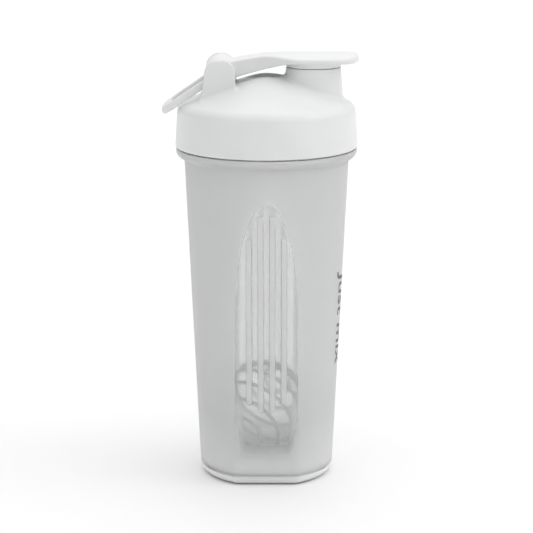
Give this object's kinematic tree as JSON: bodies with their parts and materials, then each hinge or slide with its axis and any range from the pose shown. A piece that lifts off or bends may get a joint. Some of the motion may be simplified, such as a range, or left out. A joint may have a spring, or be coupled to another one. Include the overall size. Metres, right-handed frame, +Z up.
{
  "type": "protein shaker bottle",
  "caption": "Tapered frosted shaker cup with ribbed grip panels, screw lid, spout with flip cap, carry loop and loose wire whisk ball.",
  "frame": {"origin": "centre of the base on the bottle's axis, on the plane that the bottle stands on", "axes": "+Z up along the cup's axis; +X from the axis towards the drinking spout and the paddle's tip; the carry loop hangs towards -X; the grip panels face -Y and +Y"},
  "size_m": [0.1016, 0.094, 0.2225],
  "materials": {
    "cup_plastic": "frosted translucent polypropylene, clearer on the grip panels",
    "lid_plastic": "satin white polypropylene",
    "cap_plastic": "satin white polypropylene",
    "loop_plastic": "satin white polypropylene",
    "pin_plastic": "white acetal",
    "seal_rubber": "translucent silicone",
    "whisk_steel": "polished stainless wire"
  },
  "bodies": {
    "cup": {"cup_body": "cup_plastic"},
    "seal": {"lid_seal": "seal_rubber"},
    "lid": {"lid_shell": "lid_plastic", "hinge_pin": "pin_plastic"},
    "cap": {"flip_cap": "cap_plastic", "spout_plug": "seal_rubber"},
    "loop": {"carry_loop": "loop_plastic"},
    "whisk": {"whisk_ball": "whisk_steel"}
  },
  "joints": [
    {"name": "lid_rise", "type": "slide", "parent": "cup", "child": "seal", "axis": [0, 0, 1], "range_m": [0, 0.009]},
    {"name": "lid_turn", "type": "hinge", "parent": "seal", "child": "lid", "pos_m": [0, 0, 0.18], "axis": [0, 0, 1], "range_deg": [0, 540]},
    {"name": "cap_flip", "type": "hinge", "parent": "lid", "child": "cap", "pos_m": [-0.0237, 0, 0.2127], "axis": [0, -1, 0], "range_deg": [0, 125]},
    {"name": "loop_swing", "type": "hinge", "parent": "lid", "child": "loop", "pos_m": [-0.0237, 0, 0.2127], "axis": [0, -1, 0], "range_deg": [-125, 0]},
    {"name": "whisk_slide", "type": "slide", "parent": "cup", "child": "whisk", "axis": [0, 0, 1], "range_m": [0, 0.146]}
  ],
  "couplings": [
    {"joint": "lid_rise", "follows": "lid_turn", "m_per_rad": 0.00095493}
  ]
}
